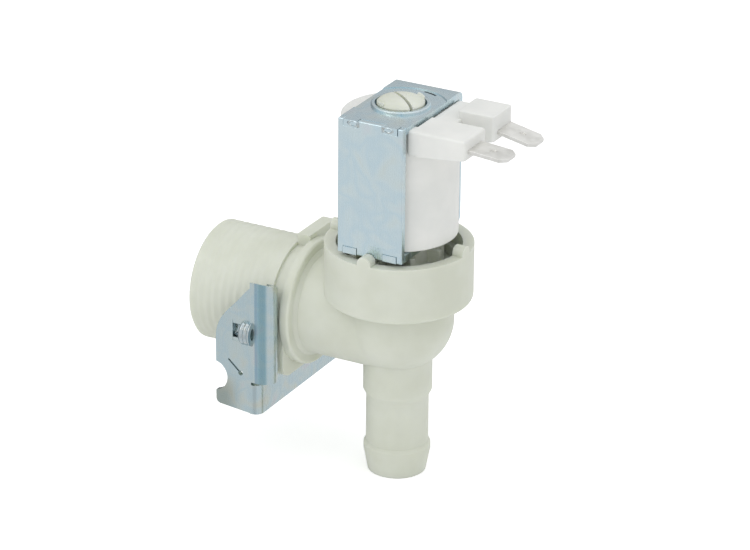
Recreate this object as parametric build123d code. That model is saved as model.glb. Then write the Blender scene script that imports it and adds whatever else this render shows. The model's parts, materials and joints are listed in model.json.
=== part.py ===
from build123d import *
import os
from math import cos, radians, sin

# Solenoid water-inlet valve of the pilot-operated diaphragm kind, as fitted at the back of a washing
# machine. Millimetres. Origin: centre of the inlet's open end. +X runs along the inlet into the valve,
# +Z runs up the coil axis, and the hose tail points down.

# ---- driving dimensions ---------------------------------------------------------------------------

# Inlet spigot, along X
inlet_to_axis = 44.4            # mouth of the inlet to the coil axis
thread_diameter = 26.44         # 3/4 inch pipe thread, major diameter
thread_length = 20.1
mouth_chamfer = 0.4
inlet_bore_diameter = 20.6
inlet_bore_depth = 19.0
screen_bore_diameter = 17.0     # short step behind the flow regulator
screen_bore_depth = 23.0
passage_diameter = 11.0         # from the step to the diaphragm chamber
collar_diameter = 28.0
collar_width = 2.0
collar_edge = 0.6
groove_width = 3.0              # the bracket clips in here, between thread and collar
key_half_width = 12.6           # flat key plate that fills the groove and stops the bracket turning
key_top = 15.1
key_bottom = 14.2
key_corner = 3.2
key_step = 0.8                  # where the cut corner starts, beside the middle
neck_diameter = 25.0
pipe_diameter = 22.4
pipe_root_fillet = 0.8

# Diaphragm chamber and outlet, on the coil axis
ring_diameter = 31.9
ring_top = 18.3
ring_bottom = 5.7
ring_edge = 1.1
chamber_bore_diameter = 27.0
chamber_floor = 8.6             # ledge that the diaphragm's bead lies on
bowl_diameter = 23.8
bowl_wall = 2.0
bowl_floor = -4.2               # inside bottom of the annular chamber
bowl_end = -8.35                # where the bowl runs out into the tail
bowl_curve_top = 2.0            # the bowl's outside is straight above this
bowl_curve_diameter = 21.8      # and this wide at the middle of its curve
bowl_curve_z = -4.1
annulus_bevel = 3.4             # sloped bottom of the annular chamber
seat_outer_diameter = 12.8
seat_height = 7.6
outlet_bore_diameter = 10.0
tail_root_diameter = 14.9
tail_step_z = -15.85
tail_diameter = 13.5
tail_taper_length = 1.4
barb_diameter = 14.5
barb_start_z = -28.1
barb_flare_length = 0.8
barb_land_length = 1.3
tail_end_z = -35.0
tail_end_diameter = 12.7
knob_count = 4
knob_width = 3.1
knob_height = 2.0

# Bayonet that holds the core guide down on the diaphragm
lug_count = 4
lug_sweep = 34.0                # degrees of each lug of the body
ear_sweep = 44.0                # degrees of each ear of the guide
lug_height = 2.4
lug_depth = 1.3

# Diaphragm and pilot
bead_height = 1.8
bead_width = 2.2
membrane_thickness = 0.8
membrane_rise = 0.3             # the web lies this much above the ledge
disc_diameter = 14.0
disc_thickness = 1.5
pilot_nozzle_height = 0.7
pilot_nozzle_diameter = 3.2
pilot_bore = 1.2
insert_spigot_diameter = 5.2
insert_spigot_length = 3.6

# Core guide
guide_flange_height = 2.0
guide_flange_diameter = 24.2
guide_dome_diameter = 20.4
guide_dome_height = 2.6
guide_shoulder_diameter = 14.0
guide_wall = 0.8
cavity_diameter = 17.2
cavity_headroom = 0.7           # above the nozzle when the diaphragm is lifted
guide_rib_count = 8
guide_rib_width = 1.1
snap_slot = 0.7
snap_slot_depth = 7.5
snap_slot_angle = -36.0         # degrees from +X
snap_neck_growth = 0.15
snap_barb_overhang = 0.45
snap_barb_width = 3.0
snap_dome_height = 2.8
snap_dome_round = 2.1
snap_dimple_radius = 0.9
snap_dimple_offset = 2.2

# Plunger and spring
plunger_diameter = 8.04
plunger_length = 23.4
plunger_stroke = 2.6
plunger_nose = 1.0
plunger_flutes = 2
flute_width = 1.2
flute_depth = 0.7
spring_pocket_diameter = 5.6
spring_pocket_depth = 6.0
spring_outer_diameter = 5.0
spring_wire = 0.45
spring_turns = 8
spring_headroom = 3.3           # pocket above the plunger's stop
tip_reach = 1.6                 # rubber that stands out of the plunger's nose
tip_diameter = 3.6
tip_button_diameter = 5.0
tip_button_height = 2.0
tip_neck_height = 1.0           # neck inside the nose, below the button
moulded_gap = 0.02              # round pieces that are moulded into others
diaphragm_lift = 1.8

# Magnetic frame and coil
yoke_bottom = 19.25
yoke_height = 30.05
yoke_depth = 26.6               # along Y
yoke_width = 15.2               # along X
yoke_thickness = 1.5
yoke_back_bend = 1.5            # outside radius, coined tight
yoke_low_bend = 1.8
yoke_inner_bend = 0.1
yoke_edge_round = 0.25
yoke_hole_diameter = 11.0
yoke_rim_width = 0.8
yoke_rim_height = 0.35
sunk_diameter = 19.7            # circle pressed into the top plate round the hole
sunk_depth = 0.2
slot_radius = 9.05              # short arc slot through the top plate
slot_width = 0.5
slot_middle = 74.5              # degrees from +X
slot_sweep = 21.0
tenon_width = 3.2
tenon_spacing = 9.4
core_diameter = 9.8             # guide tube inside the coil
yoke_low_hole_diameter = 10.3
sleeve_wall = 1.15
sleeve_gap = 0.1
lower_sleeve_length = 8.6
upper_sleeve_length = 8.4
bobbin_wall = 0.8
bobbin_flange_diameter = 20.8
bobbin_flange_thickness = 1.0
bobbin_end_hub = 1.6            # hub that stands out past each flange
winding_diameter = 19.8
coil_diameter = 25.0
coil_low_gap = 0.1              # between the moulding and the plates of the frame
coil_high_gap = 0.4
coil_edge = 0.4

# Terminal block and tabs, on the +X side
block_height = 5.1
block_drop = 1.3                # the slab's top lies this much below the frame's top
block_half_width = 11.0
block_reach = 13.5              # from the coil axis
block_gap = 0.35                # between the slab and the frame
block_edge = 0.9
near_housing_reach = 20.6
far_housing_reach = 20.95
housing_inner_gap = 1.4
housing_mouth_rise = 1.3        # the undersides rise this much to the mouths
housing_edge = 0.6
near_housing_step = 0.5         # tops of the housings above the slab
near_housing_end = 1.8          # rounding of the end beside the frame
far_housing_step = 1.8
far_housing_inset = 1.1         # the slab stands out past the far housing
tab_width = 6.3
tab_thickness = 0.8
tab_length = 8.5                # outside the housing
tab_embedded = 6.5
tab_corner = 1.4
tab_drop = 2.2                  # from the slab's top to the middle of the tabs
tab_spacing = 12.7
near_tab_angle = 4.7
far_tab_angle = 11.8
tab_dimple_diameter = 1.4
tab_dimple_depth = 0.2
tab_dimple_from_tip = 4.2

# Inlet screen and flow regulator
screen_flange_thickness = 1.6
screen_inset = 1.4
screen_length = 12.0
screen_diameter = 15.6
screen_wall = 0.9
screen_slot_count = 12
screen_slot_width = 1.6
screen_grip_depth = 5.5         # from the flange in to the rib that pliers pull on
holder_thickness = 4.2
holder_clearance = 0.1
holder_cup_diameter = 15.4
holder_cup_depth = 3.0
holder_hole_diameter = 8.0
washer_diameter = 15.0
washer_thickness = 2.8
washer_hole_diameter = 4.6

# Bracket
sheet = 1.2
bracket_half_width = 18.0
bracket_bend = 1.8
bracket_bottom = 21.15
bracket_foot_rise = 0.9
strip_top = 14.3
web_front = 20.4
corner_depth = 2.4              # the strip's bent ends reach this far down the flanges
flange_front = 9.7
flange_vertical_top = -5.0
flange_foot_radius = 1.2
notch_radius = 3.5
notch_z = -13.85
notch_inset = 0.7
tine_top = 9.9
tine_bottom = -13.5
tine_bead_radius = 2.7          # half the bead's width along Y
tine_bead_reach = 3.1           # and how far it stands out along X
tine_inner = 12.9               # half the fork's opening
bridge_depth = 2.0              # flat that joins the bead to the flange
tine_gap = 0.8                  # between the tine's lower end and the strip
tine_edge_inset = 0.25          # the bead's open edge lies this far behind the web's face
nose_run = 5.0                  # slope from the tine's top down to the straight edge
nose_fall = 5.4
slit_width = 0.4
slit_length = 4.0
slit_x = 14.3
slit_z = -10.6
slit_tilt = 42.0
pin_hole_diameter = 1.1
pin_hole_x = 15.8
pin_hole_z = -12.0
socket_z = -2.2
socket_bore_diameter = 3.4
socket_wall = 0.95
socket_start = 13.9
socket_half_length = 2.5
socket_blend = 0.25             # overlap of the tube's edges with the flange
socket_overlap = 0.5            # each half goes this far past the middle of the sheet

# ---- derived sizes --------------------------------------------------------------------------------

thread_r = thread_diameter / 2
collar_r = collar_diameter / 2
pipe_r = pipe_diameter / 2
groove_end = thread_length + groove_width
collar_end = groove_end + collar_width

ring_r = ring_diameter / 2
rim_top = ring_top + knob_height
chamber_r = chamber_bore_diameter / 2
bowl_r = bowl_diameter / 2
bowl_inner_r = bowl_r - bowl_wall
seat_r = seat_outer_diameter / 2
outlet_r = outlet_bore_diameter / 2
tail_root_r = tail_root_diameter / 2

bead_r = chamber_r - 0.2
bead_top = chamber_floor + bead_height
disc_r = disc_diameter / 2
disc_bottom = seat_height + membrane_thickness + membrane_rise
disc_top = disc_bottom + disc_thickness
nozzle_top = disc_top + pilot_nozzle_height

ear_r = chamber_r - 0.15
guide_flange_top = bead_top + guide_flange_height
cavity_top = nozzle_top + diaphragm_lift + cavity_headroom
core_r = core_diameter / 2
plunger_r = plunger_diameter / 2
guide_bore_r = core_r - guide_wall
plunger_bottom = nozzle_top + tip_reach
plunger_top = plunger_bottom + plunger_length
guide_stop = plunger_top + plunger_stroke + 0.1
spring_top = guide_stop + spring_headroom
spring_bottom = plunger_top - spring_pocket_depth

yoke_top = yoke_bottom + yoke_height
plate_low = yoke_bottom + yoke_thickness          # upper face of the bottom plate
plate_high = yoke_top - yoke_thickness            # lower face of the top plate
yoke_half_depth = yoke_depth / 2
yoke_half_width = yoke_width / 2
wall_inner = yoke_half_depth - yoke_thickness
yoke_hole_r = yoke_hole_diameter / 2
sleeve_inner_r = core_r + sleeve_gap
sleeve_r = sleeve_inner_r + sleeve_wall
bobbin_bore_r = sleeve_r + 0.05
bobbin_hub_r = bobbin_bore_r + bobbin_wall
bobbin_flange_r = bobbin_flange_diameter / 2
winding_r = winding_diameter / 2
flange_low = plate_low + bobbin_end_hub
flange_high = plate_high - bobbin_end_hub
coil_low = plate_low + coil_low_gap
coil_high = plate_high - coil_high_gap
coil_r = coil_diameter / 2
block_top = yoke_top - block_drop
block_bottom = block_top - block_height
tab_z = block_top - tab_drop


# ---- helpers --------------------------------------------------------------------------------------

def on_coil_axis(shape):
    """Moves a shape made round Z to the coil axis."""
    return Pos(inlet_to_axis, 0, 0) * shape


def turned(points):
    """Solid turned about Z from a closed (radius, height) outline."""
    return revolve(Plane.XZ * make_face(Polyline(*points, close=True)), Axis.Z)


def rod(radius, low, high):
    """Cylinder round Z between two heights."""
    return Pos(0, 0, low) * Cylinder(radius, high - low, align=(Align.CENTER, Align.CENTER, Align.MIN))


def tube(outer, inner, low, high):
    """Tube round Z between two heights."""
    return rod(outer, low, high) - rod(inner, low - 1, high + 1)


def rod_x(radius, start, end):
    """Cylinder round X between two places."""
    return Pos(start, 0, 0) * Rot(0, 90, 0) * Cylinder(
        radius, end - start, align=(Align.CENTER, Align.CENTER, Align.MIN))


def tube_x(outer, inner, start, end):
    """Tube round X between two places."""
    return rod_x(outer, start, end) - rod_x(inner, start - 1, end + 1)


def block(x0, x1, y0, y1, z0, z1):
    """Box between its low and high corners."""
    size = (x1 - x0, y1 - y0, z1 - z0)
    return Pos(x0, y0, z0) * Box(*size, align=(Align.MIN, Align.MIN, Align.MIN))


def sector(outer, inner, low, high, middle, sweep):
    """Part of a tube that spans an angle, in degrees, about a middle direction."""
    reach = 2 * outer
    half = radians(sweep / 2)
    side_x = reach * cos(half)
    side_y = reach * sin(half)
    wedge = Polyline((0, 0), (side_x, -side_y), (side_x, side_y), close=True)
    cutter = Pos(0, 0, low) * extrude(make_face(wedge), high - low)
    return tube(outer, inner, low, high) & (Rot(0, 0, middle) * cutter)


def ring_of(shape, count, start=0.0):
    """Copies of a shape spread evenly round Z."""
    return [Rot(0, 0, start + 360 * i / count) * shape for i in range(count)]


# ---- valve body -----------------------------------------------------------------------------------

def tower_outside():
    """Ring, bowl and hose tail, turned about the coil axis."""
    tail_r = tail_diameter / 2
    barb_r = barb_diameter / 2
    barb_land = barb_start_z - barb_flare_length
    barb_end = barb_land - barb_land_length
    bowl_mid = (bowl_curve_diameter / 2, bowl_curve_z)
    top = Polyline((0, rim_top), (ring_r, rim_top), (ring_r, ring_bottom + ring_edge))
    edge = RadiusArc((ring_r, ring_bottom + ring_edge), (ring_r - ring_edge, ring_bottom), ring_edge)
    side = Polyline((ring_r - ring_edge, ring_bottom), (bowl_r, ring_bottom), (bowl_r, bowl_curve_top))
    bowl = ThreePointArc((bowl_r, bowl_curve_top), bowl_mid, (tail_root_r, bowl_end))
    tail = Polyline(
        (tail_root_r, bowl_end), (tail_root_r, tail_step_z), (tail_r, tail_step_z - tail_taper_length),
        (tail_r, barb_start_z), (barb_r, barb_land), (barb_r, barb_end),
        (tail_end_diameter / 2, tail_end_z), (0, tail_end_z), (0, rim_top))
    return revolve(Plane.XZ * make_face(top + edge + side + bowl + tail), Axis.Z)


def rim_waste():
    """What is cut off the top of the ring to leave its round-topped knobs."""
    round_z = rim_top - knob_width / 2
    knob = block(0, ring_r + 2, -knob_width / 2, knob_width / 2, ring_top - 1, round_z)
    knob += Pos(0, 0, round_z) * rod_x(knob_width / 2, 0, ring_r + 2)
    return tube(ring_r + 1, chamber_r - 1, ring_top, rim_top + 1) - ring_of(knob, knob_count)


def key_outline():
    """Key plate in Y-Z: one corner is cut back to the neck, so that it fits one way round."""
    outline = Pos(0, (key_top - key_bottom) / 2) * RectangleRounded(
        2 * key_half_width, key_top + key_bottom, key_corner)
    cut_width = key_half_width + key_step
    outline -= Pos(-key_step - cut_width / 2, key_top / 2) * Rectangle(cut_width, key_top)
    return outline + Circle(neck_diameter / 2)


def inlet_outside():
    """Threaded spigot, key plate, collar and the pipe to the bowl, along X."""
    spigot = chamfer(rod_x(thread_r, 0, thread_length).edges().group_by(Axis.X)[0], mouth_chamfer)
    key = extrude(Plane.YZ.offset(thread_length) * key_outline(), groove_width)
    collar = fillet(rod_x(collar_r, groove_end, collar_end).edges().group_by(Axis.X)[-1], collar_edge)
    pipe = rod_x(pipe_r, 0, inlet_to_axis)
    root = revolve(make_face(Polyline(
        (collar_end, 0), (collar_end, pipe_r + pipe_root_fillet), (collar_end + pipe_root_fillet, pipe_r),
        (collar_end + pipe_root_fillet, 0), close=True)), Axis.X)
    return spigot + key + collar + pipe + root


def make_valve_body():
    """One moulding: inlet, chamber, seat and hose tail."""
    body = on_coil_axis(tower_outside() - rim_waste()) + inlet_outside()
    body -= rod_x(inlet_bore_diameter / 2, -1, inlet_bore_depth)
    body -= rod_x(screen_bore_diameter / 2, 0, screen_bore_depth)
    body -= rod_x(passage_diameter / 2, 0, inlet_to_axis - seat_r - 2)
    chamber = rod(chamber_r, chamber_floor, rim_top + 1)
    annulus = turned([(0, bowl_floor), (seat_r + 1, bowl_floor), (bowl_inner_r, bowl_floor + annulus_bevel),
                      (bowl_inner_r, chamber_floor + 1), (0, chamber_floor + 1)])
    body -= on_coil_axis(chamber + annulus)
    seat = rod(seat_r, bowl_floor - 1, seat_height)
    seat = fillet(seat.edges().group_by(Axis.Z)[-1], 0.5)
    lug_low = guide_flange_top
    lug = sector(chamber_r + 0.5, chamber_r - lug_depth, lug_low, lug_low + lug_height, 0, lug_sweep)
    body += on_coil_axis(seat + ring_of(lug, lug_count, 45))
    body -= on_coil_axis(rod(outlet_r, tail_end_z - 1, seat_height + 1))
    return body


# ---- inlet screen and flow regulator --------------------------------------------------------------

def make_inlet_strainer():
    """Slotted basket with a flange, closed at its inner end and open to the mouth."""
    start = screen_inset
    flange_r = inlet_bore_diameter / 2 - holder_clearance
    inner_r = screen_diameter / 2 - screen_wall
    end = start + screen_length
    flange_end = start + screen_flange_thickness
    basket = rod_x(flange_r, start, flange_end) + rod_x(screen_diameter / 2, start, end)
    basket -= rod_x(inner_r, start - 1, end - screen_wall)
    slot = block(flange_end + 1, end - 2, -screen_slot_width / 2, screen_slot_width / 2,
                 inner_r - 1, screen_diameter)
    for i in range(screen_slot_count):
        basket -= Rot(360 * i / screen_slot_count, 0, 0) * slot
    grip = block(start + screen_grip_depth, end - screen_wall, -screen_wall / 2, screen_wall / 2,
                 -inner_r, inner_r)
    return basket + (grip & rod_x(inner_r + 0.1, start, end))


def make_flow_regulator_holder():
    """Cup that seats the rubber regulator washer on the step of the bore."""
    start = inlet_bore_depth - holder_thickness
    holder = rod_x(inlet_bore_diameter / 2 - holder_clearance, start, inlet_bore_depth)
    holder -= rod_x(holder_cup_diameter / 2, start - 1, start + holder_cup_depth)
    holder -= rod_x(holder_hole_diameter / 2, start, inlet_bore_depth + 1)
    return holder


def make_flow_regulator_washer():
    """Rubber washer whose hole narrows as the pressure rises."""
    end = inlet_bore_depth - holder_thickness + holder_cup_depth
    washer = tube_x(washer_diameter / 2, washer_hole_diameter / 2, end - washer_thickness, end)
    return fillet(washer.edges().group_by(Axis.X)[0].sort_by(Edge.length)[-1], 0.6)


# ---- diaphragm ------------------------------------------------------------------------------------

def make_diaphragm():
    """Rubber membrane: bead on the ledge, rolling web and a thick middle that closes the seat."""
    t = membrane_thickness
    web_r = bead_r - bead_width
    hole_r = insert_spigot_diameter / 2 + 0.05
    pad_r = disc_r + 0.2
    web_low = chamber_floor + membrane_rise
    membrane = turned([
        (hole_r, seat_height), (pad_r, seat_height), (pad_r + 0.6, web_low), (web_r, web_low),
        (web_r, chamber_floor), (bead_r, chamber_floor), (bead_r, bead_top), (web_r, bead_top),
        (web_r, web_low + t), (pad_r + 0.2, web_low + t), (pad_r - membrane_rise, disc_bottom),
        (hole_r, disc_bottom)])
    return on_coil_axis(membrane)


def make_diaphragm_insert():
    """Plastic disc with the pilot orifice: its spigot goes down through the membrane."""
    spigot_r = insert_spigot_diameter / 2
    low = disc_bottom - insert_spigot_length
    nozzle_r = pilot_nozzle_diameter / 2
    body = turned([
        (0, low), (spigot_r - 0.4, low), (spigot_r, low + 0.8), (spigot_r, disc_bottom),
        (disc_r - 0.4, disc_bottom), (disc_r - 0.4, disc_top), (nozzle_r + 0.5, disc_top),
        (nozzle_r, nozzle_top), (0, nozzle_top)])
    body -= rod(pilot_bore / 2, low - 1, nozzle_top + 1)
    bleed = Pos(disc_r - 1.4, 0, 0) * rod(0.35, disc_bottom - 1, disc_top + 1)
    return on_coil_axis(body - bleed)


# ---- core guide, plunger and spring ---------------------------------------------------------------

def guide_head():
    """Split dome that snaps through the hole in the top plate."""
    neck_r = core_r + snap_neck_growth
    barb_low = yoke_top + yoke_rim_height
    barb_r = yoke_hole_r + snap_barb_overhang
    barb = turned([(0, barb_low), (barb_r - 0.3, barb_low), (barb_r, barb_low + 0.3),
                   (neck_r, barb_low + 1.5), (0, barb_low + 1.5)])
    barb &= block(-snap_barb_width / 2, snap_barb_width / 2, -2 * barb_r, 2 * barb_r,
                  barb_low, barb_low + 2)
    dome_top = yoke_top + snap_dome_height
    side_top = dome_top - snap_dome_round
    crown = (neck_r - snap_dome_round * 0.293, dome_top - snap_dome_round * 0.293)
    arc = ThreePointArc((neck_r, side_top), crown, (neck_r - snap_dome_round, dome_top))
    profile = arc + Polyline((neck_r - snap_dome_round, dome_top), (0, dome_top), (0, plate_high),
                             (neck_r, plate_high), (neck_r, side_top))
    dome = revolve(Plane.XZ * make_face(profile), Axis.Z)
    dimple = Pos(0, snap_dimple_offset, dome_top + 0.3) * Sphere(snap_dimple_radius)
    return dome + barb - dimple


def make_core_guide():
    """Flange over the diaphragm, dome, shoulder, closed guide tube and snap head."""
    flange_r = guide_flange_diameter / 2
    dome_r = guide_dome_diameter / 2
    dome_top = guide_flange_top + guide_dome_height
    shoulder_r = guide_shoulder_diameter / 2
    guide = turned([
        (0, bead_top), (flange_r, bead_top), (flange_r, guide_flange_top), (dome_r, guide_flange_top),
        (dome_r - 1.6, dome_top), (shoulder_r, dome_top + 0.3), (shoulder_r, yoke_bottom),
        (core_r, yoke_bottom), (core_r, plate_high), (0, plate_high)])
    ear = sector(ear_r, flange_r - 0.5, bead_top, guide_flange_top, 0, ear_sweep)
    rib = block(shoulder_r - 1, dome_r - 0.4, -guide_rib_width / 2, guide_rib_width / 2,
                guide_flange_top - 0.1, yoke_bottom - 1.2)
    guide = guide + ring_of(ear, lug_count, 45) + ring_of(rib, guide_rib_count)
    guide += Rot(0, 0, snap_slot_angle) * guide_head()
    guide -= rod(cavity_diameter / 2, bead_top - 1, cavity_top)
    guide -= rod(guide_bore_r, cavity_top - 1, guide_stop)
    guide -= rod(spring_pocket_diameter / 2, guide_stop - 1, spring_top)
    top = yoke_top + snap_dome_height + 1
    slot_low = max(top - 1 - snap_slot_depth, spring_top + 1.2)
    slot = block(-core_r - 1, core_r + 1, -snap_slot / 2, snap_slot / 2, slot_low, top)
    guide -= Rot(0, 0, snap_slot_angle) * slot
    return on_coil_axis(guide)


def make_plunger():
    """Soft-iron core with a coned nose, side flutes, a spring pocket and a seat for its rubber tip."""
    core = turned([
        (0, plunger_bottom), (plunger_r - plunger_nose, plunger_bottom),
        (plunger_r, plunger_bottom + plunger_nose),
        (plunger_r, plunger_top - 0.3), (plunger_r - 0.3, plunger_top), (0, plunger_top)])
    core -= rod(spring_pocket_diameter / 2, spring_bottom, plunger_top + 1)
    button_low = plunger_bottom + tip_neck_height
    core -= rod(tip_diameter / 2 + moulded_gap, plunger_bottom - 1, button_low + 0.2)
    core -= rod(tip_button_diameter / 2 + moulded_gap, button_low, button_low + tip_button_height)
    flute = block(plunger_r - flute_depth, plunger_r + 1, -flute_width / 2, flute_width / 2,
                  plunger_bottom - 1, plunger_top + 1)
    return on_coil_axis(core - ring_of(flute, plunger_flutes, 90))


def make_plunger_tip():
    """Rubber tip that closes the pilot orifice; a button inside the plunger holds it."""
    r = tip_diameter / 2
    button_low = plunger_bottom + tip_neck_height
    button_high = button_low + tip_button_height
    return on_coil_axis(turned([
        (0, nozzle_top), (r - 0.3, nozzle_top), (r, nozzle_top + 0.3), (r, button_low),
        (tip_button_diameter / 2, button_low), (tip_button_diameter / 2, button_high), (0, button_high)]))


def make_plunger_spring():
    """Round-wire compression spring between the plunger's pocket and the end of the guide."""
    coil_r = (spring_outer_diameter - spring_wire) / 2
    low = spring_bottom + spring_wire / 2 + 0.02
    height = spring_top - spring_bottom - spring_wire - 0.04
    path = Pos(0, 0, low) * Helix(height / spring_turns, height, coil_r)
    section = Plane(origin=path @ 0, z_dir=path % 0) * Circle(spring_wire / 2)
    return on_coil_axis(sweep(section, path=path, is_frenet=True))


# ---- magnetic frame -------------------------------------------------------------------------------

def tenon(level, side):
    """Staked tenon of a plate, in the front plate: level is the plate's lower face."""
    x = side * tenon_spacing / 2
    return block(x - tenon_width / 2, x + tenon_width / 2, -yoke_half_depth - 0.05, -wall_inner,
                 level, level + yoke_thickness)


def make_yoke_frame():
    """Bent strip: bottom plate, back plate and top plate, with four tenons towards the front."""
    outside = block(-yoke_half_width, yoke_half_width, -wall_inner, yoke_half_depth, yoke_bottom, yoke_top)
    for end, bend in ((-1, yoke_back_bend), (0, yoke_low_bend)):
        back_edges = outside.edges().filter_by(Axis.X).group_by(Axis.Y)[-1].sort_by(Axis.Z)
        outside = fillet(back_edges[end], bend)
    inside = block(-yoke_width, yoke_width, -yoke_depth, wall_inner, plate_low, plate_high)
    inner_edges = inside.edges().filter_by(Axis.X).group_by(Axis.Y)[-1]
    inside = fillet(inner_edges, yoke_inner_bend)
    frame = outside - inside
    rim = tube(yoke_hole_r + yoke_rim_width, yoke_hole_r, yoke_top - 0.2, yoke_top + yoke_rim_height)
    frame += fillet(rim.edges().group_by(Axis.Z)[-1].sort_by(Edge.length)[-1], 0.25)
    frame += [tenon(level, side) for level in (yoke_bottom, plate_high) for side in (-1, 1)]
    frame -= tube(sunk_diameter / 2, yoke_hole_r + yoke_rim_width, yoke_top - sunk_depth, yoke_top + 1)
    frame -= rod(yoke_hole_r, plate_high - 1, yoke_top + 1)
    frame -= sector(slot_radius + slot_width / 2, slot_radius - slot_width / 2,
                    plate_high - 1, yoke_top + 1, slot_middle, slot_sweep)
    frame -= rod(yoke_low_hole_diameter / 2, yoke_bottom - 1, plate_low + 1)
    return on_coil_axis(frame)


def make_yoke_front_plate():
    """Front plate, notched along its top and bottom edges for the tenons."""
    plate = block(-yoke_half_width, yoke_half_width, -yoke_half_depth, -wall_inner, yoke_bottom, yoke_top)
    long_edges = plate.edges().filter_by(Axis.X).group_by(Axis.Y)[0]
    plate = fillet(long_edges, yoke_edge_round)
    gap = 0.05
    for level in (yoke_bottom, plate_high):
        for side in (-1, 1):
            x = side * tenon_spacing / 2
            plate -= block(x - tenon_width / 2 - gap, x + tenon_width / 2 + gap, -yoke_depth, 0,
                           level - 1 if level == yoke_bottom else level,
                           level + yoke_thickness if level == yoke_bottom else level + yoke_thickness + 1)
    return on_coil_axis(plate)


def make_flux_sleeve(low, high):
    """Steel bush that carries the field from a plate to the plunger."""
    return on_coil_axis(tube(sleeve_r, sleeve_inner_r, low, high))


# ---- coil -----------------------------------------------------------------------------------------

def make_coil_bobbin():
    """Spool with two flanges and a hub that reaches both plates."""
    bobbin = tube(bobbin_hub_r, bobbin_bore_r, plate_low, plate_high)
    for low in (flange_low, flange_high - bobbin_flange_thickness):
        bobbin += tube(bobbin_flange_r, bobbin_bore_r, low, low + bobbin_flange_thickness)
    return on_coil_axis(bobbin)


def make_copper_winding():
    """Enamelled copper wire, wound between the flanges."""
    low = flange_low + bobbin_flange_thickness
    high = flange_high - bobbin_flange_thickness
    return on_coil_axis(tube(winding_r, bobbin_hub_r + 0.03, low, high))


def housing(start, mouth, y0, y1, top):
    """Square socket that a tab comes out of: its underside rises towards the mouth."""
    side = Polyline((start, block_bottom), (mouth, block_bottom + housing_mouth_rise), (mouth, top),
                    (start, top), close=True)
    return Pos(0, y1, 0) * extrude(Plane.XZ * make_face(side), y1 - y0)


def near_housing():
    """Long housing of the near tab, which runs back to the frame and is rounded there."""
    shape = housing(yoke_half_width + block_gap, near_housing_reach, -block_half_width, -housing_inner_gap,
                    block_top + near_housing_step)
    shape = fillet(shape.edges().filter_by(Axis.Z).group_by(Axis.X)[0].sort_by(Axis.Y)[0], near_housing_end)
    mouth = shape.edges().filter_by(Axis.Z).group_by(Axis.X)[-1]
    shape = fillet(mouth, housing_edge)
    return fillet(shape.faces().sort_by(Axis.Z)[-1].edges(), housing_edge)


def far_housing():
    """Short, raised housing of the far tab."""
    shape = housing(block_reach - 1, far_housing_reach, housing_inner_gap,
                    block_half_width - far_housing_inset, block_top + far_housing_step)
    shape = fillet(shape.edges().filter_by(Axis.Z), housing_edge)
    return fillet(shape.faces().sort_by(Axis.Z)[-1].edges(), housing_edge / 2)


def terminal_block():
    """Slab beside the frame with one housing for each tab."""
    slab = block(yoke_half_width + block_gap, block_reach, -housing_inner_gap - 1, block_half_width,
                 block_bottom, block_top)
    outer = slab.edges().filter_by(Axis.Z).group_by(Axis.Y)[-1]
    slab = fillet(outer, block_edge)
    slab = fillet(slab.faces().sort_by(Axis.Z)[-1].edges(), block_edge / 2)
    return slab + near_housing() + far_housing()


def tab_place(angle, y_side):
    """Place of a tab: it hangs down by an angle about its housing's mouth."""
    mouth = near_housing_reach if y_side < 0 else far_housing_reach
    return Pos(mouth, y_side * tab_spacing / 2, tab_z) * Rot(0, angle, 0)


def tab_outline(angle, y_side, clearance=0.0):
    """One flat tab with a cut-cornered tip."""
    half = tab_width / 2 + clearance
    length = tab_length
    outline = Polyline(
        (-tab_embedded - clearance, -half), (length - tab_corner, -half), (length, -half + tab_corner),
        (length, half - tab_corner), (length - tab_corner, half), (-tab_embedded - clearance, half),
        close=True)
    thickness = tab_thickness + 2 * clearance
    tab = Pos(0, 0, -thickness / 2) * extrude(make_face(outline), thickness)
    return tab_place(angle, y_side) * tab


def make_terminal(angle, y_side):
    """Tinned-brass blade with the locking dimple of its size."""
    tab = tab_outline(angle, y_side)
    dimple = Cylinder(tab_dimple_diameter / 2, 2 * tab_dimple_depth)
    dimple = Pos(tab_length - tab_dimple_from_tip, 0, tab_thickness / 2) * dimple
    return on_coil_axis(tab - tab_place(angle, y_side) * dimple)


def make_coil_overmould():
    """White moulding round the winding, flat beside the frame, with the terminal block."""
    coil = rod(coil_r, coil_low, coil_high)
    coil = fillet(coil.edges().filter_by(GeomType.CIRCLE), coil_edge)
    coil &= block(-coil_r, coil_r, -wall_inner + 0.03, wall_inner - 0.03, coil_low, coil_high)
    coil += terminal_block()
    coil -= rod(bobbin_hub_r + 0.02, coil_low - 1, coil_high + 1)
    coil -= rod(bobbin_flange_r + 0.02, flange_low, flange_high)
    for angle, side in ((near_tab_angle, -1), (far_tab_angle, 1)):
        coil -= tab_outline(angle, side, 0.02)
    return on_coil_axis(coil)


# ---- bracket --------------------------------------------------------------------------------------

def flange_outline():
    """Side flange in X-Z: sloped nose, straight edge, round notch, foot."""
    web_back = web_front - sheet
    foot_z = -bracket_bottom + bracket_foot_rise
    nose = web_front - sheet / 2
    slope = Spline((nose, tine_top), (nose - nose_run, tine_top - nose_fall),
                   (flange_front, flange_vertical_top), tangents=((-0.75, -0.6), (0, -1)))
    rest = Polyline(
        (flange_front, flange_vertical_top), (flange_front, foot_z), (web_back, -bracket_bottom),
        (nose, -bracket_bottom), (nose, tine_top))
    face = make_face(slope + rest)
    face -= Pos(flange_front - notch_inset, notch_z) * Circle(notch_radius)
    corner = face.vertices().sort_by_distance((flange_front, foot_z))[0]
    return fillet(corner, flange_foot_radius)


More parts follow.
